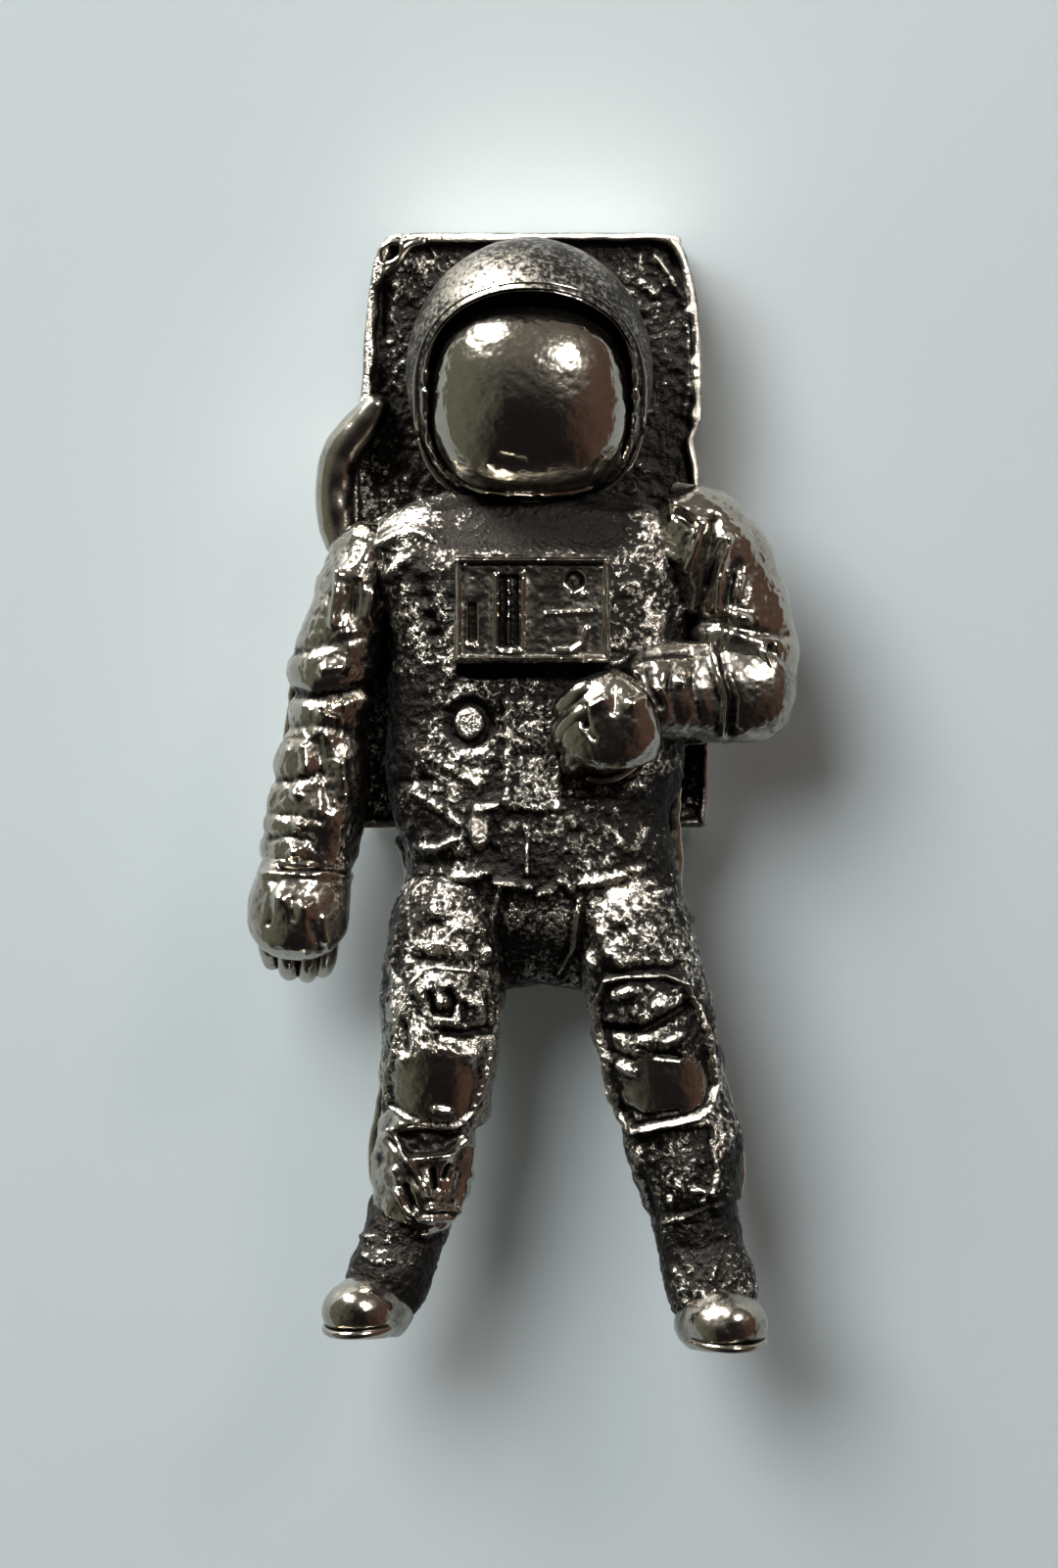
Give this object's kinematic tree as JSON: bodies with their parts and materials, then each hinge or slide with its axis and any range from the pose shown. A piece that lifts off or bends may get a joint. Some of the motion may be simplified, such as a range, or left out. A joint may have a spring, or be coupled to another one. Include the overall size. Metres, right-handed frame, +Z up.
{
  "type": "cast pewter pin badge",
  "caption": "Standing space-suited figure cast in antiqued pewter as a lapel pin, with a soldered tack and a squeeze-to-release butterfly clutch.",
  "frame": {"origin": "where the axis of the tack's post meets the flat rear face of the back pack", "axes": "+Z up through the helmet, +Y out of the rear face along the post, +X to the figure's left, which is the viewer's right; the figure faces -Y"},
  "size_m": [0.0147, 0.0162, 0.03],
  "materials": {
    "antique_pewter": "cast pewter, blackened in the recesses and polished on the high spots",
    "plated_steel": "bright nickel plate",
    "soft_solder": "tin solder, smooth and slightly grey",
    "plated_brass": "nickel-plated brass, bright, with rubbed edges"
  },
  "bodies": {
    "figure": {"figure_casting": "antique_pewter", "post_pad": "plated_steel", "tack_post": "plated_steel", "solder_fillet": "soft_solder"},
    "clutch": {"clutch_base": "plated_brass", "clutch_spring_seat": "plated_brass"},
    "wing_left": {"clutch_wing_left": "plated_brass"},
    "wing_right": {"clutch_wing_right": "plated_brass"}
  },
  "joints": [
    {"name": "clutch_pull", "type": "slide", "parent": "figure", "child": "clutch", "axis": [0, 1, 0], "range_m": [0, 0.007]},
    {"name": "wing_left_squeeze", "type": "hinge", "parent": "clutch", "child": "wing_left", "pos_m": [-0.004, 0.00309, 0], "axis": [0, 0, -1], "range_deg": [0, 10], "stiffness_Nm_per_rad": 0.002},
    {"name": "wing_right_squeeze", "type": "hinge", "parent": "clutch", "child": "wing_right", "pos_m": [0.004, 0.00309, 0], "axis": [0, 0, 1], "range_deg": [0, 10], "stiffness_Nm_per_rad": 0.002}
  ],
  "couplings": [
    {"joint": "wing_right_squeeze", "follows": "wing_left_squeeze", "ratio": 1}
  ]
}
